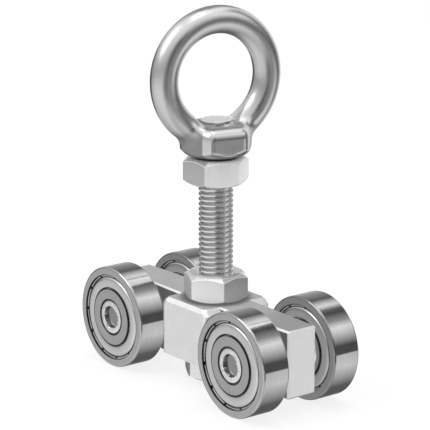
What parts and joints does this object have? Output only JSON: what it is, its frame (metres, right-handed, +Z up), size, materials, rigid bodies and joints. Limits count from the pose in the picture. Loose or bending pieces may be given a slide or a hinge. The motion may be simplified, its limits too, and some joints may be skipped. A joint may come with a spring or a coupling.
{
  "type": "trolley roller",
  "caption": "Four-wheel overhead track trolley with ball-bearing wheels on a cross-shaped steel body and a threaded hanger bolt with an eye nut.",
  "frame": {"origin": "on the floor that the wheels stand on, under the bolt's axis", "axes": "+Z up along the bolt to the eye, +X along the track, +Y along the axles"},
  "size_m": [0.0866, 0.0404, 0.1098],
  "materials": {
    "zinc_plated_body": "satin zinc plating",
    "zinc_plated_bolt": "zinc plating on a rolled thread",
    "zinc_plated_nuts": "bright zinc plating",
    "polished_eye": "polished forging",
    "zinc_plated_axles": "turned and zinc plated",
    "polished_bearing_steel": "ground and polished",
    "ground_bearing_steel": "fine ground",
    "pressed_shields": "pressed bright sheet",
    "bearing_balls": "mirror polish",
    "pressed_cages": "pressed sheet"
  },
  "bodies": {
    "trolley": {"trolley_body": "zinc_plated_body", "hex_bolt": "zinc_plated_bolt", "lower_nut": "zinc_plated_nuts", "upper_nut": "zinc_plated_nuts", "eye_nut": "polished_eye", "front_axle": "zinc_plated_axles", "rear_axle": "zinc_plated_axles", "spacer_front_left": "zinc_plated_axles", "inner_ring_front_left": "ground_bearing_steel", "spacer_front_right": "zinc_plated_axles", "inner_ring_front_right": "ground_bearing_steel", "spacer_rear_left": "zinc_plated_axles", "inner_ring_rear_left": "ground_bearing_steel", "spacer_rear_right": "zinc_plated_axles", "inner_ring_rear_right": "ground_bearing_steel"},
    "wheel_front_left": {"outer_ring_front_left": "polished_bearing_steel", "outboard_shield_front_left": "pressed_shields", "inboard_shield_front_left": "pressed_shields"},
    "ball_set_front_left": {"balls_front_left": "bearing_balls", "cage_front_left": "pressed_cages"},
    "wheel_front_right": {"outer_ring_front_right": "polished_bearing_steel", "outboard_shield_front_right": "pressed_shields", "inboard_shield_front_right": "pressed_shields"},
    "ball_set_front_right": {"balls_front_right": "bearing_balls", "cage_front_right": "pressed_cages"},
    "wheel_rear_left": {"outer_ring_rear_left": "polished_bearing_steel", "outboard_shield_rear_left": "pressed_shields", "inboard_shield_rear_left": "pressed_shields"},
    "ball_set_rear_left": {"balls_rear_left": "bearing_balls", "cage_rear_left": "pressed_cages"},
    "wheel_rear_right": {"outer_ring_rear_right": "polished_bearing_steel", "outboard_shield_rear_right": "pressed_shields", "inboard_shield_rear_right": "pressed_shields"},
    "ball_set_rear_right": {"balls_rear_right": "bearing_balls", "cage_rear_right": "pressed_cages"}
  },
  "joints": [
    {"name": "wheel_spin_front_left", "type": "hinge", "parent": "trolley", "child": "wheel_front_left", "pos_m": [0.0283, 0.0126, 0.015], "axis": [0, 1, 0], "continuous": true},
    {"name": "ball_set_spin_front_left", "type": "hinge", "parent": "trolley", "child": "ball_set_front_left", "pos_m": [0.0283, 0.0126, 0.015], "axis": [0, 1, 0], "continuous": true},
    {"name": "wheel_spin_front_right", "type": "hinge", "parent": "trolley", "child": "wheel_front_right", "pos_m": [0.0283, -0.0126, 0.015], "axis": [0, 1, 0], "continuous": true},
    {"name": "ball_set_spin_front_right", "type": "hinge", "parent": "trolley", "child": "ball_set_front_right", "pos_m": [0.0283, -0.0126, 0.015], "axis": [0, 1, 0], "continuous": true},
    {"name": "wheel_spin_rear_left", "type": "hinge", "parent": "trolley", "child": "wheel_rear_left", "pos_m": [-0.0283, 0.0126, 0.015], "axis": [0, 1, 0], "continuous": true},
    {"name": "ball_set_spin_rear_left", "type": "hinge", "parent": "trolley", "child": "ball_set_rear_left", "pos_m": [-0.0283, 0.0126, 0.015], "axis": [0, 1, 0], "continuous": true},
    {"name": "wheel_spin_rear_right", "type": "hinge", "parent": "trolley", "child": "wheel_rear_right", "pos_m": [-0.0283, -0.0126, 0.015], "axis": [0, 1, 0], "continuous": true},
    {"name": "ball_set_spin_rear_right", "type": "hinge", "parent": "trolley", "child": "ball_set_rear_right", "pos_m": [-0.0283, -0.0126, 0.015], "axis": [0, 1, 0], "continuous": true}
  ],
  "couplings": [
    {"joint": "ball_set_spin_front_left", "follows": "wheel_spin_front_left", "ratio": 0.619},
    {"joint": "ball_set_spin_front_right", "follows": "wheel_spin_front_right", "ratio": 0.619},
    {"joint": "ball_set_spin_rear_left", "follows": "wheel_spin_rear_left", "ratio": 0.619},
    {"joint": "ball_set_spin_rear_right", "follows": "wheel_spin_rear_right", "ratio": 0.619}
  ]
}
